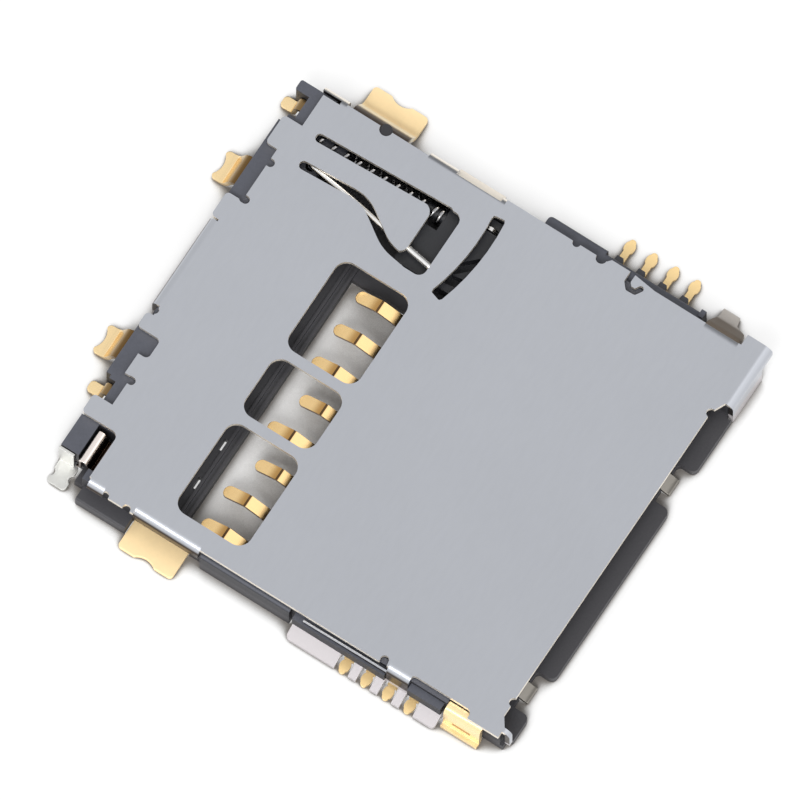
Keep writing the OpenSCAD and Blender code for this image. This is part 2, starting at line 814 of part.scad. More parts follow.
module front_foot_right() { front_foot(foot_x[0]); }
module front_foot_left() { front_foot(foot_x[1]); }

// Leaf of the card-detect switch: root under the block, rolled top, arm towards the card
module detect_spring() {
    y = detect_roll_y;
    r = detect_roll_r;
    z = floor_t + seat_gap + detect_t / 2;
    line = soften([
        [y + r + 0.45, z], [y + r, z], [y + r, detect_top], [y - r / 2, detect_top],
        [y - r - detect_slope, z + 0.2], [y - detect_arm, z + 0.4]
    ], [0.14, 0.08, 0.08, 0.2]);
    color(tin) difference() {
        along_x(detect_x[0], detect_x[1]) strip(line, detect_t);
        box([detect_x[0] - over, y_b - detect_block[1] + seat_gap, 0],
            [detect_block_x[0] + seat_gap, y_b, detect_top]);
    }
}

// Silver terminal of the switch: notched foot at the corner, and a wall beside the block
module detect_terminal() {
    x = detect_block_x[0] - seat_gap;
    y0 = y_b - detect_block[1];
    y1 = y_b - detect_block[0] + seat_gap;
    t = detect_wall_t;
    foot = x_l - detect_foot_out;
    color(tin) {
        linear_extrude(contact_t) difference() {
            round_rect([foot, y0 - 0.06], [x, y1 - 0.05], 0.12);
            translate([foot + 0.3, y1]) circle(0.14);
            translate([foot + 0.36, y0 - 0.1]) circle(0.12);
        }
        linear_extrude(detect_top) rect([x - t, y0 + 0.1], [x, y1]);
    }
}

// Insert grooves for the flat nail, the terminals, the switch foot and the front feet
module insert_grooves() {
    g = seat_gap;
    box([x_l - over, left_nail_y - nail_side_w / 2 - g, -over],
        [-body_x + left_nail_in + g, left_nail_y + nail_side_w / 2 + g, nail_t + g]);
    for (x = [back_right_terminal_x, back_left_terminal_x]) translate([x, 0, 0]) rotate(90)
        staple_slot(terminal_face, terminal_w, terminal_z, terminal_z + nail_t / 2 + g);
    for (x = [back_right_terminal_x, back_left_terminal_x])
        box([x - 0.5, terminal_face, -over], [x + terminal_w / 2 + g, y_b + over, shell_h]);
    box([x_l - over, y_b - detect_cut, -over], [detect_block_x[0], y_b + over, shell_h]);
    box([x_l - over, y_b - detect_block[0], -over], [detect_block_x[1], y_b + over, shell_h]);
    box([body_x - 0.12, y_b - hook_slot[1] - 0.1, -over], [x_r, y_b - hook_slot[1] + 0.12, shell_h]);
    box([x_l - over, y_b - flange_neck_run[1] - g, -over],
        [-body_x, y_b - flange_neck_run[0] + g, shell_h]);
    for (x = foot_x) {
        box([x - foot_w / 2 - g, y_f - over, floor_t - nail_t - 2 * g],
            [x + foot_w / 2 + g, mouth_y + foot_in - foot_notch + g, floor_t + over]);
        box([x - foot_w / 2 - g, y_f - over, -over], [x + foot_w / 2 + g, mouth_y + 0.3, floor_t]);
    }
}

// Plan of the floor with the bars, ears and blocks that stand out of the shell
module floor_plan() {
    rect([-body_x, body_front], [body_x, body_back]);
    rect([x_l + fold_o + left_leg_w + 0.05, sill_y], [card_right - 0.06, body_front + eps]);
    back_blocks();
}

// Blocks of the back wall that show in the notches of the plate
module back_blocks() {
    rect([back_right_nail_x - 0.8, spring_back], [x_r - 1.45, bare_back]);
    rect([back_left_nail_x - 1, spring_back], [back_left_nail_x + 0.62, bare_back]);
    rect([back_left_terminal_x - 0.55, spring_back], [back_left_nail_x - 1 + eps, terminal_face]);
    rect([x_r - 1.2, spring_back], [body_x, terminal_face]);
    round_rect([x_r - 0.5, terminal_face - 0.2], [x_r - 0.17, y_b + 0.07], 0.07);
}

// Plan of the walls that rise from the floor to just under the plate
module wall_plan() {
    rect([-body_x, body_front + 0.1], [card_left, y_b - switch_notch[1] - 0.1]);
    rect([pocket_right, pocket_front - 0.5], [body_x, body_back]);
    rect([card_right, body_front], [body_x, pocket_front]);
    rect([detect_block_x[1], stop_y], [slide_left - run_gap, body_back]);
    rect([slide_left - run_gap - eps, spring_back], [body_x, body_back]);
    back_blocks();
    rect([detect_block_x[0], y_b - detect_block[1]], [detect_block_x[1] + eps, y_b - detect_block[0]]);
}

// Round-topped rail or bar along a side; x is its outer face, out to way, over a run from the back
module side_bar(x, way, run, z, r) {
    mirror([way < 0 ? 1 : 0, 0, 0]) along_y(y_b - run[1], y_b - run[0]) {
        rect([body_x - eps, 0], [x, z - r]);
        rect([body_x - eps, 0], [x - r, z]);
        translate([x - r, z - r]) circle(r);
    }
}

// Right bar: wide at the back, narrower along the solder tails, with a stop at its front end
module right_bar(z) {
    narrow = bar_x - bar_step_in;
    end = y_b - bar_run[1];
    difference() {
        side_bar(bar_x, 1, [bar_run[0], bar_step], z, 0.1);
        linear_extrude(shell_h) ease([bar_x, y_b - bar_run[0]], bar_end_r, -1, -1);
    }
    side_bar(narrow, 1, [bar_step - eps, bar_run[1]], z, 0.1);
    box([narrow - bar_end_r, end, 0], [narrow + 0.07, end + bar_end_r, z + 0.06]);
    // Teeth over the roots of the solder tails
    for (i = [0:side_count - 1]) linear_extrude(tooth_top) polygon([
        [narrow - eps, tail_y(i) - tooth_w / 2], [narrow + tooth_l, tail_y(i) - neck_w / 2],
        [narrow + tooth_l, tail_y(i) + neck_w / 2], [narrow - eps, tail_y(i) + tooth_w / 2]
    ]);
}

// Ribs on the floor behind the contacts
module floor_ribs() {
    for (k = [0, 1]) box([card_left + 0.3, opening_back + k * rib_step, floor_t - eps],
                         [slide_left - 0.3, opening_back + k * rib_step + rib_w, floor_t + rib_h]);
}

// Pocket for the arm of the upright front nail
module front_nail_slot_cut() {
    g = seat_gap;
    w = front_nail_run[1] - front_nail_run[0];
    box([body_x - front_nail_in - g, -w / 2 - g, front_nail_top - nail_t / 2 - g],
        [body_x + over, w / 2 + g, shell_h]);
}

// Pivot post of the follower wire, the spring's rear peg and the post's bore
module pivot_post() {
    difference() {
        box([pivot.x - post_half, pivot.y - post_half, floor_t - eps],
            [pivot.x + post_half, spring_back + eps, post_top]);
        translate([pivot.x, pivot.y, pivot_foot - run_gap])
            cylinder(d = follower_d + 2 * run_gap, h = shell_h);
    }
    translate([spring_x, spring_back + eps, spring_z]) rotate([90, 0, 0])
        cylinder(d = peg_d, h = peg_back_l);
}

module housing() {
    low = 1.02;
    // Peg that keys the right nail and shows in the plate's edge
    color(plastic) translate([body_x, nail_peg_y, 0]) cylinder(r = nail_peg_r, h = shell_h - 2 * seat_gap);
    color(plastic) difference() {
        union() {
            linear_extrude(floor_t) floor_plan();
            translate([0, 0, floor_t - eps]) linear_extrude(top_z - floor_t + eps) wall_plan();
            right_bar(low - 0.1);
            side_bar(x_r - rail_in, -1, rail_run, low, 0.1);
            side_bar(x_r + ear_out, -1, ear_run, ear_top, 0.06);
            box([x_l - ledge_out, y_b - flange_run[1], flange_up + 2 * seat_gap],
                [-body_x + eps, y_b - flange_run[0], ledge_top]);
            box([-body_x, y_b - switch_notch[1] - 0.2, 0], [x_l + 0.5, y_b - switch_notch[1] + 0.2, low]);
            floor_ribs();
            pivot_post();
        }
        // Opening under the contacts
        box([contact_x(contact_count - 1) - contact_w / 2 - opening_side, opening_front, -over],
            [contact_x(0) + contact_w / 2 + opening_side, opening_back, floor_t + over]);
        contact_grooves();
        insert_grooves();
        // Gaps of the sill round the front feet
        for (g = foot_gap) translate([0, 0, -over]) linear_extrude(2 * over + floor_t) {
            round_rect([g[0], y_f - over], [g[1], mouth_y + foot_notch], relief_r);
            ease([g[0], sill_y], 0.18, -1, 1);
            ease([g[1], sill_y], 0.18, 1, 1);
        }
        // Slits in the floor behind the contacts
        for (x = drain_x) box([x - drain_l / 2, opening_back + 0.33, -over],
                              [x + drain_l / 2, opening_back + 0.33 + drain_w, floor_t + over]);
        // Slots for the arms of the nails
        translate([0, right_nail_y, 0]) staple_slot(body_x, nail_side_w, nail_high_z, shell_h);
        for (x = [back_right_nail_x, back_left_nail_x]) translate([x, 0, 0]) rotate(90)
            staple_slot(bare_back, nail_back_w, nail_arm_z, nail_arm_z + nail_t / 2 + seat_gap);
        translate([0, y_b - (front_nail_run[0] + front_nail_run[1]) / 2, 0]) mirror([1, 0, 0])
            front_nail_slot_cut();
        // Room for the leaf's root under the switch block
        box([detect_x[0] - over, detect_roll_y, floor_t],
            [detect_x[1] + run_gap, detect_roll_y + detect_roll_r + 0.5, floor_t + detect_t + 2 * run_gap]);
    }
}

// Heart-shaped track seen from above: straight entry lane, stop, lock notch, return lane
module heart_track() {
    entry = pin_home;
    far = [pin_home.x + follower_shift, pin_home.y - slide_travel];
    lock = [far.x + 0.32, far.y + 0.35];
    turn = [far.x + 0.66, far.y - 0.02];
    home_side = [far.x + 0.72, far.y + 1.2];
    track([entry + [0, 0.06], entry, far, far + [0.05, -0.08], lock, turn, home_side, entry], track_w);
}

module slider() {
    rear_right = slide_rear_right;
    color(plastic) {
        difference() {
            translate([0, 0, slide_foot]) linear_extrude(slide_top - slide_foot) {
                round_rect([slide_left, slide_front], [slide_right, slide_seat], 0.12);
                rect([slide_left, slide_seat - 0.3], [slide_right, slide_seat]);
                rect([slide_left, slide_seat - 0.3], [rear_right, slide_rear - 0.12]);
                round_rect([slide_left, slide_seat - 0.3], [rear_right, slide_rear], 0.12);
            }
            translate([0, 0, track_floor]) linear_extrude(shell_h) heart_track();
            // Seat of the lock spring in the right flank
            box([lock_x - lock_t / 2 - seat_gap, slide_front + 0.4, track_floor - seat_gap],
                [lock_x + lock_t / 2 + seat_gap, slide_seat - 0.35, shell_h]);
        }
        translate([spring_x, slide_seat - eps, spring_z]) rotate([-90, 0, 0])
            cylinder(d = peg_d, h = peg_slide_l);
    }
}

// Steel leaf in the slider's flank that locks the card
module lock_spring() {
    color(steel) along_x(lock_x - lock_t / 2, lock_x + lock_t / 2) polygon([
        [slide_front + 0.42, track_floor], [slide_seat - 0.37, track_floor],
        [slide_seat - 0.37, slide_top], [slide_seat - 0.6, slide_top + 0.12],
        [slide_seat - 1.3, slide_top + 0.12], [slide_seat - 1.5, slide_top],
        [slide_front + 0.42, slide_top]
    ]);
}

// Way along the spring after t turns, from y0 to y1, with one close turn at each end
function coil_y(t, y0, y1) =
    let (close = 1.1 * spring_wire_d, pitch = (y1 - y0 - 2 * close) / (spring_turns - 2))
    t < 1 ? y0 + close * t
    : t > spring_turns - 1 ? y1 - close * (spring_turns - t)
    : y0 + close + pitch * (t - 1);

// Coil of the eject spring as one swept tube
module eject_spring() {
    steps = 16;
    sides = 8;
    n = floor(spring_turns * steps);
    y0 = slide_seat + seat_gap + spring_wire_d / 2;
    y1 = spring_back - seat_gap - spring_wire_d / 2;
    mean_r = (spring_od - spring_wire_d) / 2;
    points = [
        for (k = [0:n]) for (s = [0:sides - 1])
            let (a = 360 * k / steps, b = 360 * s / sides, r = mean_r + spring_wire_d / 2 * cos(b))
            [spring_x + r * cos(a),
             coil_y(k / steps, y0, y1) + spring_wire_d / 2 * sin(b),
             spring_z + r * sin(a)]
    ];
    walls = [
        for (k = [0:n - 1]) for (s = [0:sides - 1])
            [k * sides + s, k * sides + (s + 1) % sides,
             (k + 1) * sides + (s + 1) % sides, (k + 1) * sides + s]
    ];
    first = [for (s = [sides - 1:-1:0]) s];
    last = [for (s = [0:sides - 1]) n * sides + s];
    color(steel) polyhedron(points, concat(walls, [first, last]));
}

// Follower wire: pivot leg in the post, straight run under the tongue, pin in the track
module follower_wire() {
    d = pin_home - pivot;
    run = norm(d);
    r = follower_bend_r;
    color(steel) translate([pivot.x, pivot.y, follower_z]) rotate(atan2(d.y, d.x)) {
        translate([r, 0, 0]) rotate([0, 90, 0]) cylinder(d = follower_d, h = run - 2 * r);
        for (end = [0, 1]) translate([end * run, 0, 0]) mirror([end, 0, 0])
            translate([r, 0, -r]) rotate([90, 0, 0]) rotate(90)
                rotate_extrude(angle = 90) translate([r, 0]) circle(d = follower_d);
        translate([0, 0, pivot_foot - follower_z]) cylinder(d = follower_d, h = follower_z - r - pivot_foot);
        translate([run, 0, pin_foot - follower_z]) cylinder(d = follower_d, h = follower_z - r - pin_foot);
    }
}

// The whole part stands centred on the middle of its outline
module placed() {
    translate([-x_mid, -y_mid, 0]) children();
}

placed() shell();
placed() housing();
placed() contact_1();
placed() contact_2();
placed() contact_3();
placed() contact_4();
placed() contact_5();
placed() contact_6();
placed() contact_7();
placed() contact_8();
placed() right_nail();
placed() left_nail();
placed() back_right_nail();
placed() back_left_nail();
placed() front_left_nail();
placed() back_right_terminal();
placed() back_left_terminal();
placed() front_foot_right();
placed() front_foot_left();
placed() detect_spring();
placed() detect_terminal();
placed() slider();
placed() lock_spring();
placed() eject_spring();
placed() follower_wire();
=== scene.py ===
"""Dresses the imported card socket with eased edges, finishes, a smooth eject spring and a stage."""

import math

import bmesh
import bpy
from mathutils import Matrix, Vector


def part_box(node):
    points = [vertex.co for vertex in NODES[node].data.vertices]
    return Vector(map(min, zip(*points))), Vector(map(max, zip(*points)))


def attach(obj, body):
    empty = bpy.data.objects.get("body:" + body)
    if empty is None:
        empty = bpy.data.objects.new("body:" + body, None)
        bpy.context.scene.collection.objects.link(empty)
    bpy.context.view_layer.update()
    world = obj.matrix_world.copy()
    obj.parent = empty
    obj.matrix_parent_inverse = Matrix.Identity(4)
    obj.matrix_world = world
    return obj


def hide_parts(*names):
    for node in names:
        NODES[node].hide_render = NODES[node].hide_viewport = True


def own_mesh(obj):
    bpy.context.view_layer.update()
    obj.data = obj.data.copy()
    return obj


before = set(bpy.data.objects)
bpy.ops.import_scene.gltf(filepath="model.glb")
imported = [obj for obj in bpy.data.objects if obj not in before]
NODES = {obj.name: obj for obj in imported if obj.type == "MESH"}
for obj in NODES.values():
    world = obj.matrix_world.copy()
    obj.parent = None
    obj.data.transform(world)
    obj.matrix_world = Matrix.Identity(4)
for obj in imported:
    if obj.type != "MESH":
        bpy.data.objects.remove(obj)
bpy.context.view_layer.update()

bl_info = {
    "name": "Card socket look",
    "version": (1, 1, 0),
    "blender": (4, 5, 0),
    "location": "View3D > Sidebar > Socket",
    "description": "Finishes, stage and camera of a push-push card socket",
    "category": "Object",
}

MM = 0.001
CONTACTS = [f"contact_{i}" for i in range(1, 9)]
NAILS = ["right_nail", "left_nail", "back_right_nail", "back_left_nail", "front_left_nail"]
TERMINALS = ["back_right_terminal", "back_left_terminal"]
FEET = ["front_foot_right", "front_foot_left"]

# How far the table's soft shade and its closer contact shade reach, and their samples
SHADE_REACH = 3.0 * MM
CONTACT_REACH = 0.5 * MM
SHADE_SAMPLES = 16
# Middle of the plate's top in millimetres, and its pixels right of and below the picture's middle
PLATE_MIDDLE = (-0.235, -0.405, 1.3)
PLATE_OFF_CENTRE = (5.9, 8.6)
# The sky's slopes: axis, where the gain starts, where it is full, and how much it adds
SKY = (
    ("X", -0.15, -0.80, 0.50), ("X", 0.28, 0.80, -0.50),
    ("Y", -0.10, -0.50, 0.75), ("Y", 0.30, 0.80, 0.40),
    ("Z", 0.93, 0.72, -0.40), ("Z", 0.60, 0.10, -0.12),
)


def colour_prop(name, text, value):
    """Colour setting."""
    return bpy.props.FloatVectorProperty(
        name=name, description=text, default=value, size=3, min=0.0, max=1.0, subtype="COLOR"
    )


def share_prop(name, text, value, top=1.0):
    """Number from 0 to top."""
    return bpy.props.FloatProperty(
        name=name, description=text, default=value, min=0.0, max=top, subtype="FACTOR"
    )


def length_prop(name, text, mm):
    """Length given in millimetres."""
    return bpy.props.FloatProperty(
        name=name, description=text, default=mm * MM, min=0.0, subtype="DISTANCE", unit="LENGTH", precision=6
    )


class SocketFinish(bpy.types.PropertyGroup):
    """Colours and gloss of the socket's surfaces."""

    steel: colour_prop("Shell steel", "Colour of the rolled sheet", (0.505, 0.523, 0.565))
    # Sheared edges are paler, partly their own cut metal and partly a painted highlight
    steel_edge_and_highlight: colour_prop("Shell edge", "Colour of the sheared edges", (0.90, 0.84, 0.75))
    # Painted shade: the shell's steep sides below the folds are coloured dark brown
    steel_side_shade: colour_prop("Shell side", "Colour of the steep sides below the folds", (0.05, 0.036, 0.026))
    # Painted shade: the shell's low flange is coloured darker
    steel_low_shade: colour_prop("Shell flange", "Colour of the shell's low flange", (0.42, 0.395, 0.405))
    # Painted shade: the solder leg is coloured dark, turning to the foot colour at its foot
    steel_leg_shade: colour_prop("Shell leg", "Colour of the tarnished solder leg", (0.13, 0.105, 0.082))
    steel_foot: colour_prop("Shell foot", "Colour of the foot of the solder leg", (0.46, 0.43, 0.40))
    steel_rough: share_prop("Shell roughness", "Roughness of the rolled sheet", 0.30)
    plastic: colour_prop("Base plastic", "Colour of the moulded base", (0.066, 0.070, 0.088))
    # Painted shade: the base's upright sides and the top of its peg are coloured near black
    plastic_side_shade: colour_prop("Base sides", "Colour of the base's upright sides", (0.018, 0.018, 0.022))
    # Painted shade: the base's low floor and sill, under the shell, are coloured darker
    plastic_low_shade: colour_prop("Base floor", "Colour of the base's floor and sill", (0.042, 0.041, 0.046))
    plastic_rough: share_prop("Base roughness", "Roughness of the moulded base", 0.55)
    slide: colour_prop("Slide plastic", "Colour of the eject slide", (0.016, 0.017, 0.021))
    gold: colour_prop("Contact gold", "Colour of the plated contacts", (0.90, 0.64, 0.31))
    # Painted shade: the contacts' steep sides are coloured dark
    gold_side_shade: colour_prop("Contact side", "Colour of the contacts' steep sides", (0.20, 0.11, 0.04))
    # Painted shade: the contacts' tips darken towards the crest
    gold_crest_shade: colour_prop(
        "Contact crest", "Colour of the contacts' tips towards the crest", (0.50, 0.29, 0.10)
    )
    # Painted shade: the dark line across each contact's crest
    gold_crease_shade: colour_prop("Contact crease", "Colour of the crease across a crest", (0.10, 0.052, 0.018))
    tail: colour_prop("Solder tails", "Colour of the matte solder tails", (0.93, 0.68, 0.33))
    gold_rough: share_prop("Contact roughness", "Roughness of the plated contacts", 0.22)
    nail: colour_prop("Nail gold", "Colour of the plated nails and tails", (0.98, 0.75, 0.42))
    # Painted shade: the nails' legs are coloured dark towards the top
    nail_top_shade: colour_prop("Nail leg", "Colour of the nails' legs towards the top", (0.15, 0.085, 0.03))
    # Painted highlight and shade of the right nail: a pale band over its lower bend and a dark shoulder under
    # the plate
    nail_bend_highlight: colour_prop("Nail bend", "Colour of the right nail's lower bend", (1.0, 0.90, 0.70))
    nail_shoulder_shade: colour_prop("Nail shoulder", "Colour of the right nail's shoulder", (0.06, 0.042, 0.03))
    nail_rough: share_prop("Nail roughness", "Roughness of the plated nails", 0.25)
    foot: colour_prop("Front feet", "Colour of the dull plated front feet", (0.29, 0.272, 0.245))
    switch: colour_prop("Switch plate", "Colour of the switch terminal", (0.70, 0.70, 0.675))
    leaf: colour_prop("Switch leaf", "Colour of the switch leaf", (0.90, 0.82, 0.78))
    # Painted shade: the switch leaf's low flat part is coloured dark
    leaf_low_shade: colour_prop("Switch leaf foot", "Colour of the leaf's low flat part", (0.09, 0.055, 0.04))
    wire: colour_prop("Wire", "Colour of the bright wire", (0.80, 0.80, 0.80))
    coil: colour_prop("Eject spring", "Colour of the eject spring's wire", (0.34, 0.34, 0.35))


class SocketEdges(bpy.types.PropertyGroup):
    """Rounding of the edges and the coil of the eject spring."""

    sheet: length_prop("Sheet edge", "Rounding of the shell's sheared edges", 0.03)
    moulded: length_prop("Moulded edge", "Rounding of the base's edges", 0.03)
    strip: length_prop("Strip edge", "Rounding of the nails and feet", 0.022)
    contact: length_prop("Contact edge", "Rounding of the contacts", 0.008)
    leaf: length_prop("Leaf edge", "Rounding of the thin leaves", 0.014)
    coil_turns: bpy.props.FloatProperty(
        name="Turns", description="Turns of the eject spring", default=11.5, min=1.0
    )
    wire_d: length_prop("Wire", "Diameter of the eject spring's wire", 0.12)


class SocketStage(bpy.types.PropertyGroup):
    """Camera and light of the stage."""

    azimuth: bpy.props.FloatProperty(
        name="Azimuth", description="Turn of the camera about the socket",
        default=math.radians(-57.0), subtype="ANGLE",
    )
    elevation: bpy.props.FloatProperty(
        name="Elevation", description="Height of the camera above the board",
        default=math.radians(72.5), subtype="ANGLE",
    )
    px_per_mm: bpy.props.FloatProperty(
        name="Scale", description="Pixels of an 800 pixel picture per millimetre", default=36.8, min=1.0,
    )
    floor: colour_prop("Floor", "Colour of the table top", (0.96, 0.96, 0.96))
    # Painted shade: the table's colour in the socket's hollows and near it, where it lies less open to the
    # sky
    floor_under_shade: colour_prop("Floor under", "Colour of the table top under the socket", (0.20, 0.185, 0.17))
    glow: share_prop("Floor glow", "Share of the open table top that shows as plain white", 0.75)
    sky: share_prop("Sky", "Strength of the light from straight above", 0.95, 5.0)
    sky_least: share_prop("Sky at least", "Strength of the light where the sky is darkest", 0.30, 5.0)
    key: share_prop("Key lamp", "Strength of the soft lamp on the left", 1.4, 5.0)
    key_turn: bpy.props.FloatProperty(
        name="Key turn", description="Turn of the lamp from the left side towards the mouth",
        default=math.radians(10.0), subtype="ANGLE",
    )
    key_rise: bpy.props.FloatProperty(
        name="Key rise", description="Height of the lamp above the board",
        default=math.radians(52.0), subtype="ANGLE",
    )
    key_size: bpy.props.FloatProperty(
        name="Key size", description="Width of the lamp as seen from the socket",
        default=math.radians(24.0), subtype="ANGLE",
    )


def finish_of():
    """The finish settings of the current scene."""
    return bpy.context.scene.socket_finish


def edges_of():
    """The edge settings of the current scene."""
    return bpy.context.scene.socket_edges


def remap(tree, source, start=0.0, full=1.0, low=0.0, high=1.0, smooth=False):
    """Output that goes from low to high as source goes from start to full."""
    node = tree.nodes.new("ShaderNodeMapRange")
    if smooth:
        node.interpolation_type = "SMOOTHSTEP"
    for label, value in (("From Min", start), ("From Max", full), ("To Min", low), ("To Max", high)):
        node.inputs[label].default_value = value
    tree.links.new(source, node.inputs["Value"])
    return node.outputs[0]


def combine(tree, operation, one, two):
    """Output that joins a socket with another socket or with a number."""
    node = tree.nodes.new("ShaderNodeMath")
    node.operation = operation
    tree.links.new(one, node.inputs[0])
    if isinstance(two, float):
        node.inputs[1].default_value = two
    else:
        tree.links.new(two, node.inputs[1])
    return node.outputs[0]


def grain_group():
    """Fine grain pulled along X, and a slow cloud, from the piece's own coordinates in millimetres."""
    name = "socket grain"
    if name in bpy.data.node_groups:
        return bpy.data.node_groups[name]
    group = bpy.data.node_groups.new(name, "ShaderNodeTree")
    face = group.interface
    for label, value in (("Scale", 20.0), ("Stretch", 1.0), ("Cloud Scale", 0.5)):
        face.new_socket(name=label, in_out="INPUT", socket_type="NodeSocketFloat").default_value = value
    for label in ("Grain", "Cloud"):
        face.new_socket(name=label, in_out="OUTPUT", socket_type="NodeSocketFloat")
    nodes, links = group.nodes, group.links
    inlet = nodes.new("NodeGroupInput")
    outlet = nodes.new("NodeGroupOutput")
    coord = nodes.new("ShaderNodeTexCoord")
    to_mm = nodes.new("ShaderNodeVectorMath")
    to_mm.operation = "SCALE"
    to_mm.inputs["Scale"].default_value = 1.0 / MM
    links.new(coord.outputs["Object"], to_mm.inputs[0])
    stretch = nodes.new("ShaderNodeCombineXYZ")
    stretch.inputs["Y"].default_value = 1.0
    stretch.inputs["Z"].default_value = 1.0
    links.new(inlet.outputs["Stretch"], stretch.inputs["X"])
    pull = nodes.new("ShaderNodeVectorMath")
    pull.operation = "MULTIPLY"
    links.new(to_mm.outputs[0], pull.inputs[0])
    links.new(stretch.outputs[0], pull.inputs[1])
    grain = nodes.new("ShaderNodeTexNoise")
    grain.inputs["Detail"].default_value = 4.0
    links.new(pull.outputs[0], grain.inputs["Vector"])
    links.new(inlet.outputs["Scale"], grain.inputs["Scale"])
    cloud = nodes.new("ShaderNodeTexNoise")
    cloud.inputs["Detail"].default_value = 2.0
    links.new(to_mm.outputs[0], cloud.inputs["Vector"])
    links.new(inlet.outputs["Cloud Scale"], cloud.inputs["Scale"])
    links.new(grain.outputs["Fac"], outlet.inputs["Grain"])
    links.new(cloud.outputs["Fac"], outlet.inputs["Cloud"])
    return group


def place_group():
    """Masks from how a face leans against a direction and from its height above the board in millimetres."""
    name = "socket place"
    if name in bpy.data.node_groups:
        return bpy.data.node_groups[name]
    group = bpy.data.node_groups.new(name, "ShaderNodeTree")
    face = group.interface
    for label in ("Start", "Full"):
        face.new_socket(name=label, in_out="INPUT", socket_type="NodeSocketFloat")
    face.new_socket(name="Direction", in_out="INPUT", socket_type="NodeSocketVector")
    for label in ("Lean", "Height"):
        face.new_socket(name=label, in_out="OUTPUT", socket_type="NodeSocketFloat")
    nodes, links = group.nodes, group.links
    inlet = nodes.new("NodeGroupInput")
    outlet = nodes.new("NodeGroupOutput")
    coord = nodes.new("ShaderNodeTexCoord")
    lean = nodes.new("ShaderNodeVectorMath")
    lean.operation = "DOT_PRODUCT"
    links.new(coord.outputs["Normal"], lean.inputs[0])
    links.new(inlet.outputs["Direction"], lean.inputs[1])
    spot = nodes.new("ShaderNodeSeparateXYZ")
    links.new(coord.outputs["Object"], spot.inputs[0])
    height = combine(group, "MULTIPLY", spot.outputs["Z"], 1.0 / MM)
    for label, source in (("Lean", lean.outputs["Value"]), ("Height", height)):
        ramp = nodes.new("ShaderNodeMapRange")
        ramp.interpolation_type = "SMOOTHSTEP"
        links.new(source, ramp.inputs["Value"])
        links.new(inlet.outputs["Start"], ramp.inputs["From Min"])
        links.new(inlet.outputs["Full"], ramp.inputs["From Max"])
        links.new(ramp.outputs[0], outlet.inputs[label])
    return group


def tone(mat, colour, mask, start, full, direction=(0.0, 0.0, 1.0), metallic=None):
    """Turns a material's colour, and its metallic share if given, as a mask goes from start to full."""
    nodes, links = mat.node_tree.nodes, mat.node_tree.links
    shader = nodes["Principled BSDF"]
    base = shader.inputs["Base Color"]
    spot = nodes.new("ShaderNodeGroup")
    spot.node_tree = place_group()
    spot.inputs["Start"].default_value = start
    spot.inputs["Full"].default_value = full
    spot.inputs["Direction"].default_value = direction
    mix = nodes.new("ShaderNodeMix")
    mix.data_type = "RGBA"
    links.new(spot.outputs[mask], mix.inputs["Factor"])
    links.new(base.links[0].from_socket, mix.inputs["A"])
    mix.inputs["B"].default_value = (*colour, 1.0)
    links.new(mix.outputs["Result"], base)
    if metallic is not None:
        plain = shader.inputs["Metallic"].default_value
        share = remap(mat.node_tree, spot.outputs[mask], low=plain, high=metallic)
        links.new(share, shader.inputs["Metallic"])


def surface(
    name, base, rough, metallic, scale=8.0, stretch=1.0, shade=0.04, bump=0.04,
    cloud_scale=1.0, cloud=0.05, spread=0.05,
):
    """Material with grain in its colour, gloss and height; shade is how far the grain moves the base."""
    mat = bpy.data.materials.new(name)
    mat.use_nodes = True
    tree = mat.node_tree
    nodes, links = tree.nodes, tree.links
    shader = nodes["Principled BSDF"]
    shader.inputs["Metallic"].default_value = metallic
    grain = nodes.new("ShaderNodeGroup")
    grain.node_tree = grain_group()
    grain.inputs["Scale"].default_value = scale
    grain.inputs["Stretch"].default_value = stretch
    grain.inputs["Cloud Scale"].default_value = cloud_scale
    fine = remap(tree, grain.outputs["Grain"], low=1.0 - shade, high=1.0 + shade)
    drift = remap(tree, grain.outputs["Cloud"], low=1.0 - cloud, high=1.0 + cloud)
    tint = nodes.new("ShaderNodeVectorMath")
    tint.operation = "SCALE"
    tint.inputs[0].default_value = base[:3]
    links.new(combine(tree, "MULTIPLY", fine, drift), tint.inputs["Scale"])
    links.new(tint.outputs[0], shader.inputs["Base Color"])
    least, most = max(0.03, rough - spread), min(1.0, rough + spread)
    links.new(remap(tree, grain.outputs["Grain"], low=least, high=most), shader.inputs["Roughness"])
    relief = nodes.new("ShaderNodeBump")
    relief.inputs["Strength"].default_value = bump
    relief.inputs["Distance"].default_value = 0.01 * MM
    links.new(grain.outputs["Grain"], relief.inputs["Height"])
    links.new(relief.outputs[0], shader.inputs["Normal"])
    return mat


def place(name, mesh, body, node):
    """Puts a mesh in the scene as the piece that stands for a CAD node."""
    piece = bpy.data.objects.new(name, mesh)
    bpy.context.scene.collection.objects.link(piece)
    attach(piece, body)
    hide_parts(node)
    return piece


def shade_like_real(mesh):
    """Smooth shading that keeps flat faces flat: rounded edges lean on the faces that they join."""
    mesh.shade_smooth()
    faces_at = [[] for _ in mesh.vertices]
    for face in mesh.polygons:
        for v in face.vertices:
            faces_at[v].append(face)
    normals = []
    for face in mesh.polygons:
        limit = math.cos(math.radians(40.0 if face.material_index == 0 else 80.0))
        for v in face.vertices:
            plain = [g for g in faces_at[v] if g.material_index == 0 and g.normal.dot(face.normal) > limit]
            near = plain or [g for g in faces_at[v] if g.normal.dot(face.normal) > limit] or [face]
            normals.append(sum((g.normal * g.area for g in near), Vector()).normalized())
    mesh.normals_split_custom_set(normals)


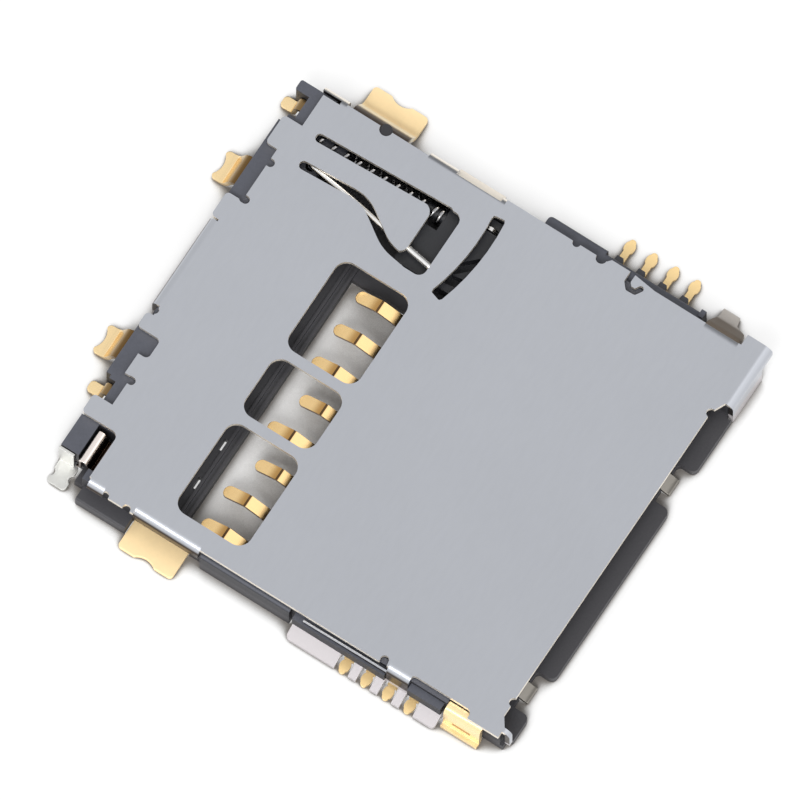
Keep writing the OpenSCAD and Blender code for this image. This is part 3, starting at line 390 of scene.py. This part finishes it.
def eased(node, width, slot, face_mat, edge_mat, body="base"):
    """Copy of a CAD node with its sharp edges rounded; the rounded edges take their own finish."""
    mesh = NODES[node].data.copy()
    mesh.name = node + "_eased"
    work = bmesh.new()
    work.from_mesh(mesh)
    bmesh.ops.remove_doubles(work, verts=work.verts, dist=0.0005 * MM)
    bmesh.ops.dissolve_limit(work, angle_limit=math.radians(1.0), verts=work.verts, edges=work.edges)
    for face in work.faces:
        face.material_index = 0
    sharp = [e for e in work.edges if len(e.link_faces) == 2 and e.calc_face_angle() > math.radians(35.0)]
    bmesh.ops.bevel(
        work, geom=sharp, offset=width, offset_type="OFFSET", affect="EDGES",
        segments=2, profile=0.5, clamp_overlap=True, material=1,
    )
    bmesh.ops.triangulate(work, faces=work.faces)
    work.to_mesh(mesh)
    work.free()
    mesh.materials.clear()
    mesh.materials.append(face_mat)
    mesh.materials.append(edge_mat)
    shade_like_real(mesh)
    return place(mesh.name, mesh, body, node)


def dress(names, mat):
    """Puts one material on the CAD nodes in names."""
    for name in names:
        data = NODES[name].data
        data.materials.clear()
        data.materials.append(mat)


class SOCKET_OT_shell(bpy.types.Operator):
    """Dress the folded shell in satin rolled steel, with its sheared edges painted bright, partly their own
    cut metal and partly a painted highlight, and painted shade on its steep sides, low flange and solder leg.
    """

    bl_idname = "socket.shell"
    bl_label = "Shell"

    def execute(self, context):
        f = finish_of()
        face = surface(
            "satin rolled steel", f.steel, f.steel_rough, 1.0, scale=9.0, stretch=0.25, shade=0.03, bump=0.10,
            cloud_scale=0.25, cloud=0.03, spread=0.04,
        )
        # Painted shade: faces that lean away from straight up turn dark brown
        tone(face, f.steel_side_shade, "Lean", 0.68, 0.36)
        # Faces that lean towards the mouth keep the plain steel colour, spared from the painted shade
        tone(face, f.steel, "Lean", 0.30, 0.60, (0.0, -1.0, 0.0))
        # Painted highlight: faces that lean towards the right turn pale cream
        tone(face, f.steel_edge_and_highlight, "Lean", 0.40, 0.65, (1.0, 0.0, 0.0))
        # Painted shade: the steel turns darker and duller towards the bottom
        tone(face, f.steel_low_shade, "Height", 0.60, 0.50, metallic=0.1)
        # The rounded edges take the pale edge colour, partly sheared metal and partly a painted highlight
        edge = surface(
            "sheared steel edge and highlight", f.steel_edge_and_highlight, 0.5, 1.0, scale=14.0, shade=0.05, bump=0.10,
            cloud_scale=0.6, cloud=0.04,
        )
        # Painted shade: the solder leg's dark colour, lighter towards its foot
        leg = surface("shaded leg steel", f.steel_leg_shade, 0.6, 0.0, scale=14.0, shade=0.08, bump=0.10, cloud=0.10)
        leg.node_tree.nodes["Principled BSDF"].inputs["Specular IOR Level"].default_value = 0.15
        tone(leg, f.steel_foot, "Height", 0.50, 0.14)
        shell = eased("shell", edges_of().sheet, "shell_steel", face, edge)
        shell.data.materials.append(leg)
        self.part_faces(shell.data, *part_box("shell"))
        return {"FINISHED"}

    def part_faces(self, mesh, low, high):
        """Gives the cut edges of the plate and the latch's flat top the pale edge colour, partly sheared
        metal and partly a painted highlight, and the solder leg its dark painted shade.
        """
        plate_foot = high[2] - 0.17 * MM
        leg_root = high[0] - 0.98 * MM
        leg_back, leg_front = low[1] + 2.2 * MM, low[1] + 0.6 * MM
        latch_in = leg_root - 0.1 * MM
        latch_low, latch_high = high[2] - 0.34 * MM, high[2] - 0.26 * MM
        for face in mesh.polygons:
            spots = [mesh.vertices[v].co for v in face.vertices]
            on_leg = all(s.x > leg_root and leg_front < s.y < leg_back for s in spots)
            if on_leg and (face.normal.z < 0.98 or face.center.z < plate_foot):
                face.material_index = 2
            elif abs(face.normal.z) < 0.3 and all(s.z > plate_foot for s in spots):
                face.material_index = 1
            # The latch's flat top takes the pale edge colour as well, a painted highlight
            elif face.normal.z > 0.9 and all(s.x > latch_in and latch_low < s.z < latch_high for s in spots):
                face.material_index = 1


class SOCKET_OT_base(bpy.types.Operator):
    """Dress the moulded base and the eject slide in black plastic, with painted shade on the base's upright
    sides, peg top and low floor.
    """

    bl_idname = "socket.base"
    bl_label = "Base and slide"

    def execute(self, context):
        f = finish_of()
        width = edges_of().moulded
        fine = {"scale": 20.0, "shade": 0.12, "bump": 0.20, "cloud_scale": 1.5, "cloud": 0.10, "spread": 0.06}
        face = surface(
            "moulded black", f.plastic, f.plastic_rough, 0.0, scale=16.0, shade=0.18, bump=0.30,
            cloud_scale=1.5, cloud=0.12, spread=0.08,
        )
        edge = surface("moulded edge", f.plastic, 0.42, 0.0, **fine)
        for mat in (face, edge):
            # Painted shade: upright sides and the peg's top above 1.2 mm turn near black
            tone(mat, f.plastic_side_shade, "Lean", 0.85, 0.30)
            tone(mat, f.plastic_side_shade, "Height", 1.20, 1.24)
            # Painted shade: the base turns darker towards the bottom
            tone(mat, f.plastic_low_shade, "Height", 0.60, 0.42)
        eased("housing", width, "base_plastic", face, edge)
        dark = surface(
            "slide black", f.slide, 0.5, 0.0, scale=16.0, shade=0.18, bump=0.25,
            cloud_scale=1.5, cloud=0.10, spread=0.08,
        )
        rim = surface("slide edge", f.slide, 0.38, 0.0, **fine)
        eased("slider", width, "slide_plastic", dark, rim, "slide")
        return {"FINISHED"}


class SOCKET_OT_contacts(bpy.types.Operator):
    """Dress the spring contacts in gold plate, with painted shade on their steep sides, towards their crests
    and in the crease across each crest.
    """

    bl_idname = "socket.contacts"
    bl_label = "Contacts"

    def execute(self, context):
        f = finish_of()
        fine = {"bump": 0.02, "cloud_scale": 1.2, "spread": 0.04}
        face = surface("contact gold", f.gold, f.gold_rough, 1.0, **fine)
        # Painted shade: steep faces and rounded edges of the contacts turn dark
        tone(face, f.gold_side_shade, "Lean", 0.90, 0.68)
        edge = surface("contact edge", f.gold, 0.25, 1.0, **fine)
        tone(edge, f.gold_side_shade, "Lean", 0.90, 0.60)
        for mat in (face, edge):
            # Painted shade: the contacts darken near the crest; the slope that faces the mouth keeps the
            # plain bright gold
            tone(mat, f.gold_crest_shade, "Height", 0.76, 0.88)
            tone(mat, f.gold, "Lean", 0.05, 0.20, (0.0, -1.0, 0.0))
            tone(mat, f.tail, "Height", 0.40, 0.25, metallic=0.3)
        crease = surface("contact crease shade", f.gold_crease_shade, 0.5, 0.5, **fine)
        for name in CONTACTS:
            contact = eased(name, edges_of().contact, "contact_gold", face, edge)
            contact.data.materials.append(crease)
            self.mark_crease_shade(contact.data)
        return {"FINISHED"}

    def mark_crease_shade(self, mesh):
        """Paints the shallow groove across the crest dark, a painted shade."""
        top = max(v.co.z for v in mesh.vertices)
        crest = [v.co.y for v in mesh.vertices if v.co.z > top - 0.02 * MM]
        middle = (min(crest) + max(crest)) / 2
        half, bottom = 0.034 * MM, top - 0.06 * MM
        for face in mesh.polygons:
            spots = [mesh.vertices[v].co for v in face.vertices]
            if all(abs(s.y - middle) < half and s.z > bottom for s in spots):
                face.material_index = 2


class SOCKET_OT_nails(bpy.types.Operator):
    """Dress the hold-down nails and back terminals in matte gold, with painted shade towards the legs' tops
    and a painted highlight band on the right nail.
    """

    bl_idname = "socket.nails"
    bl_label = "Nails and terminals"

    def execute(self, context):
        f = finish_of()
        face = surface("nail gold", f.nail, f.nail_rough, 1.0)
        # Painted shade: the legs turn dark brown above 0.3 mm
        tone(face, f.nail_top_shade, "Height", 0.30, 0.90)
        plain = surface("front nail gold", f.nail, f.nail_rough, 0.7)
        matte = surface("matte nail gold", f.nail, 0.45, 0.3)
        edge = surface("nail edge", f.nail, 0.3, 0.8)
        right = surface("right nail gold", f.nail, 0.45, 0.3)
        # Painted highlight as a cream band above 0.2 mm, and painted shade as a dark shoulder above 0.55 mm
        tone(right, f.nail_bend_highlight, "Height", 0.20, 0.40)
        tone(right, f.nail_shoulder_shade, "Height", 0.55, 0.90)
        own = {"left_nail": (matte, edge), "front_left_nail": (plain, edge), "right_nail": (right, right)}
        for name in NAILS + TERMINALS:
            eased(name, edges_of().strip, "nail_gold", *own.get(name, (face, edge)))
        return {"FINISHED"}


class SOCKET_OT_strips(bpy.types.Operator):
    """Dress the front feet and the two strips of the card-detect switch."""

    bl_idname = "socket.strips"
    bl_label = "Feet and switch"

    def execute(self, context):
        f = finish_of()
        fine = {"scale": 12.0, "shade": 0.05, "cloud": 0.06, "spread": 0.06}
        dull = surface(
            "dull plate", f.foot, 0.5, 1.0, scale=12.0, shade=0.10, bump=0.25,
            cloud_scale=2.0, cloud=0.12, spread=0.08,
        )
        plate = surface("pale tin plate", f.switch, 0.42, 1.0, bump=0.15, **fine)
        bright = surface("bright leaf", f.leaf, 0.26, 1.0, bump=0.06, **fine)
        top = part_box("detect_spring")[1][2] / MM
        # Painted shade: the leaf turns dark brown below its top
        tone(bright, f.leaf_low_shade, "Height", top - 0.08, top - 0.2)
        for name in FEET:
            eased(name, edges_of().strip, "tin_plate", dull, dull)
        eased("detect_terminal", edges_of().leaf, "tin_plate", plate, plate)
        eased("detect_spring", edges_of().leaf, "tin_plate", bright, bright)
        return {"FINISHED"}


class SOCKET_OT_springs(bpy.types.Operator):
    """Wind the eject spring and dress the lock leaf and the follower wire."""

    bl_idname = "socket.springs"
    bl_label = "Springs"

    def execute(self, context):
        f = finish_of()
        fine = {"scale": 16.0, "shade": 0.05, "cloud": 0.04}
        bright = surface("bright wire", f.wire, 0.22, 1.0, bump=0.10, spread=0.06, **fine)
        dress(["lock_spring", "follower_wire"], bright)
        self.coil(surface("dark wire", f.coil, 0.14, 1.0, spread=0.04, **fine))
        return {"FINISHED"}

    def coil(self, mat):
        """Smooth helix over the CAD spring's room, which shortens towards its fixed back end."""
        e = edges_of()
        lo, hi = (Vector(v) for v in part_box("eject_spring"))
        r_wire = e.wire_d / 2
        mean_r = (hi.x - lo.x) / 2 - r_wire
        mid = (lo + hi) / 2
        per_turn, sides = 40, 12
        count = int(e.coil_turns * per_turn)
        close = 1.1 * e.wire_d
        pitch = (hi.y - lo.y - e.wire_d - 2 * close) / (e.coil_turns - 2.0)
        rings = []
        work = bmesh.new()
        for k in range(count + 1):
            a = 2 * math.pi * k / per_turn
            t = k / per_turn
            along = close * min(t, 1.0) + pitch * min(max(t - 1.0, 0.0), e.coil_turns - 2.0)
            y = lo.y + r_wire + along + close * max(t - e.coil_turns + 1.0, 0.0)
            ring = []
            for s in range(sides):
                b = 2 * math.pi * s / sides
                r = mean_r + r_wire * math.cos(b)
                spot = (mid.x + r * math.cos(a), y + r_wire * math.sin(b), mid.z + r * math.sin(a))
                ring.append(work.verts.new(spot))
            rings.append(ring)
        for one, two in zip(rings, rings[1:]):
            for s in range(sides):
                t = (s + 1) % sides
                work.faces.new((one[s], one[t], two[t], two[s]))
        work.faces.new(list(reversed(rings[0])))
        work.faces.new(rings[-1])
        bmesh.ops.recalc_face_normals(work, faces=work.faces)
        mesh = bpy.data.meshes.new("eject_coil")
        work.to_mesh(mesh)
        work.free()
        mesh.shade_smooth()
        mesh.materials.append(mat)
        piece = place("eject_coil", mesh, "base", "eject_spring")
        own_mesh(piece)


def aim(obj, spot, target):
    """Sets obj at spot, looking at target."""
    obj.location = spot
    obj.rotation_mode = "QUATERNION"
    obj.rotation_quaternion = (Vector(target) - Vector(spot)).to_track_quat("-Z", "Y")


class SOCKET_OT_stage(bpy.types.Operator):
    """Make the table top, the studio light and the camera."""

    bl_idname = "socket.stage"
    bl_label = "Stage"

    def execute(self, context):
        stage = context.scene.socket_stage
        self.floor(stage)
        self.light(stage)
        self.camera(context, stage)
        context.scene.view_settings.view_transform = "Standard"
        return {"FINISHED"}

    def floor(self, stage):
        """Pale table top that shows white in the open and keeps the shadow near and under the socket; where
        it lies closed in it is also painted darker, a painted shade, and where it is almost shut in it glows
        white again, a painted light.
        """
        half = 0.6
        mesh = bpy.data.meshes.new("table top")
        corners = [(-half, -half, 0), (half, -half, 0), (half, half, 0), (-half, half, 0)]
        mesh.from_pydata(corners, [], [(0, 1, 2, 3)])
        top = bpy.data.objects.new("table top", mesh)
        bpy.context.scene.collection.objects.link(top)
        top.location.z = -0.02 * MM
        mat = bpy.data.materials.new("pale table")
        mat.use_nodes = True
        tree = mat.node_tree
        nodes, links = tree.nodes, tree.links
        shader = nodes["Principled BSDF"]
        shader.inputs["Roughness"].default_value = 0.9
        glow = nodes.new("ShaderNodeEmission")
        path = nodes.new("ShaderNodeLightPath")
        seen = combine(tree, "MAXIMUM", path.outputs["Is Camera Ray"], path.outputs["Is Glossy Ray"])
        seen = combine(tree, "MAXIMUM", seen, path.outputs["Is Transmission Ray"])
        room = self.openness(tree, SHADE_REACH)
        beside = remap(tree, self.openness(tree, CONTACT_REACH), 0.45, 0.95, smooth=True)
        clear = remap(tree, room, 0.45, 0.80, smooth=True)
        # Painted light: where the table is almost closed in, under the floor's slits, it glows white again
        slit_glow = remap(tree, room, 0.16, 0.08)
        white = combine(tree, "MULTIPLY", combine(tree, "MAXIMUM", clear, slit_glow), stage.glow)
        open_part = remap(tree, room, 0.14, 0.66, smooth=True)
        # Painted shade: the less open the table lies to the sky, the more it takes the dark under colour
        shade = nodes.new("ShaderNodeMix")
        shade.data_type = "RGBA"
        lift = combine(tree, "MAXIMUM", beside, clear)
        links.new(combine(tree, "MULTIPLY", open_part, lift), shade.inputs["Factor"])
        shade.inputs["A"].default_value = (*stage.floor_under_shade, 1.0)
        shade.inputs["B"].default_value = (*stage.floor, 1.0)
        links.new(shade.outputs["Result"], shader.inputs["Base Color"])
        mix = nodes.new("ShaderNodeMixShader")
        links.new(combine(tree, "MULTIPLY", seen, white), mix.inputs["Fac"])
        links.new(shader.outputs[0], mix.inputs[1])
        links.new(glow.outputs[0], mix.inputs[2])
        links.new(mix.outputs[0], nodes["Material Output"].inputs["Surface"])
        mesh.materials.append(mat)

    def openness(self, tree, reach):
        """How open the table lies to the sky within a reach."""
        node = tree.nodes.new("ShaderNodeAmbientOcclusion")
        node.inputs["Distance"].default_value = reach
        node.samples = SHADE_SAMPLES
        return node.outputs["AO"]

    def light(self, stage):
        """Sky that is brightest straight above, at the mouth, left and back, and darker at the right."""
        world = bpy.data.worlds.new("studio")
        world.use_nodes = True
        tree = world.node_tree
        nodes, links = tree.nodes, tree.links
        coord = nodes.new("ShaderNodeTexCoord")
        parts = nodes.new("ShaderNodeSeparateXYZ")
        links.new(coord.outputs["Generated"], parts.inputs[0])
        total = None
        for axis, start, full, gain in SKY:
            slope = remap(tree, parts.outputs[axis], start, full, high=gain)
            total = slope if total is None else combine(tree, "ADD", total, slope)
        level = combine(tree, "ADD", total, stage.sky)
        links.new(combine(tree, "MAXIMUM", level, stage.sky_least), nodes["Background"].inputs["Strength"])
        nodes["Background"].inputs["Color"].default_value = (1.0, 1.0, 1.0, 1.0)
        bpy.context.scene.world = world
        data = bpy.data.lights.new("key", "SUN")
        data.energy = stage.key
        data.angle = stage.key_size
        lamp = bpy.data.objects.new("key", data)
        bpy.context.scene.collection.objects.link(lamp)
        turn, rise = stage.key_turn, stage.key_rise
        flat = math.cos(rise)
        spot = Vector((-math.cos(turn) * flat, -math.sin(turn) * flat, math.sin(rise)))
        aim(lamp, spot, (0, 0, 0))

    def camera(self, context, stage):
        """Flat view that puts the middle of the plate where the picture has it."""
        data = bpy.data.cameras.new("view")
        data.type = "ORTHO"
        data.ortho_scale = 800.0 / stage.px_per_mm * MM
        cam = bpy.data.objects.new("view", data)
        context.scene.collection.objects.link(cam)
        a, e = stage.azimuth, stage.elevation
        back = Vector((math.sin(a) * math.cos(e), -math.cos(a) * math.cos(e), math.sin(e)))
        turn = (-back).to_track_quat("-Z", "Y")
        right, up = turn @ Vector((1, 0, 0)), turn @ Vector((0, 1, 0))
        across, down = (pixels / stage.px_per_mm * MM for pixels in PLATE_OFF_CENTRE)
        centre = Vector(PLATE_MIDDLE) * MM - right * across + up * down
        cam.location = centre + back * 0.2
        cam.rotation_mode = "QUATERNION"
        cam.rotation_quaternion = turn
        data.clip_start, data.clip_end = 0.001, 2.0
        context.scene.camera = cam


class SOCKET_PT_panel(bpy.types.Panel):
    """Lists the steps of the socket's look."""

    bl_label = "Card socket"
    bl_idname = "SOCKET_PT_panel"
    bl_space_type = "VIEW_3D"
    bl_region_type = "UI"
    bl_category = "Socket"

    def draw(self, context):
        for step in STEPS:
            self.layout.operator(step.bl_idname)


STEPS = (
    SOCKET_OT_shell, SOCKET_OT_base, SOCKET_OT_contacts, SOCKET_OT_nails,
    SOCKET_OT_strips, SOCKET_OT_springs, SOCKET_OT_stage,
)
CLASSES = (SocketFinish, SocketEdges, SocketStage, *STEPS, SOCKET_PT_panel)


def register():
    """Registers the classes and hangs the settings on the scene."""
    for cls in CLASSES:
        bpy.utils.register_class(cls)
    bpy.types.Scene.socket_finish = bpy.props.PointerProperty(type=SocketFinish)
    bpy.types.Scene.socket_edges = bpy.props.PointerProperty(type=SocketEdges)
    bpy.types.Scene.socket_stage = bpy.props.PointerProperty(type=SocketStage)


def unregister():
    """Takes the settings and classes away again."""
    del bpy.types.Scene.socket_stage
    del bpy.types.Scene.socket_edges
    del bpy.types.Scene.socket_finish
    for cls in reversed(CLASSES):
        bpy.utils.unregister_class(cls)


def main():
    """Runs every step."""
    register()
    bpy.ops.socket.shell()
    bpy.ops.socket.base()
    bpy.ops.socket.contacts()
    bpy.ops.socket.nails()
    bpy.ops.socket.strips()
    bpy.ops.socket.springs()
    bpy.ops.socket.stage()


if __name__ == "__main__":
    main()
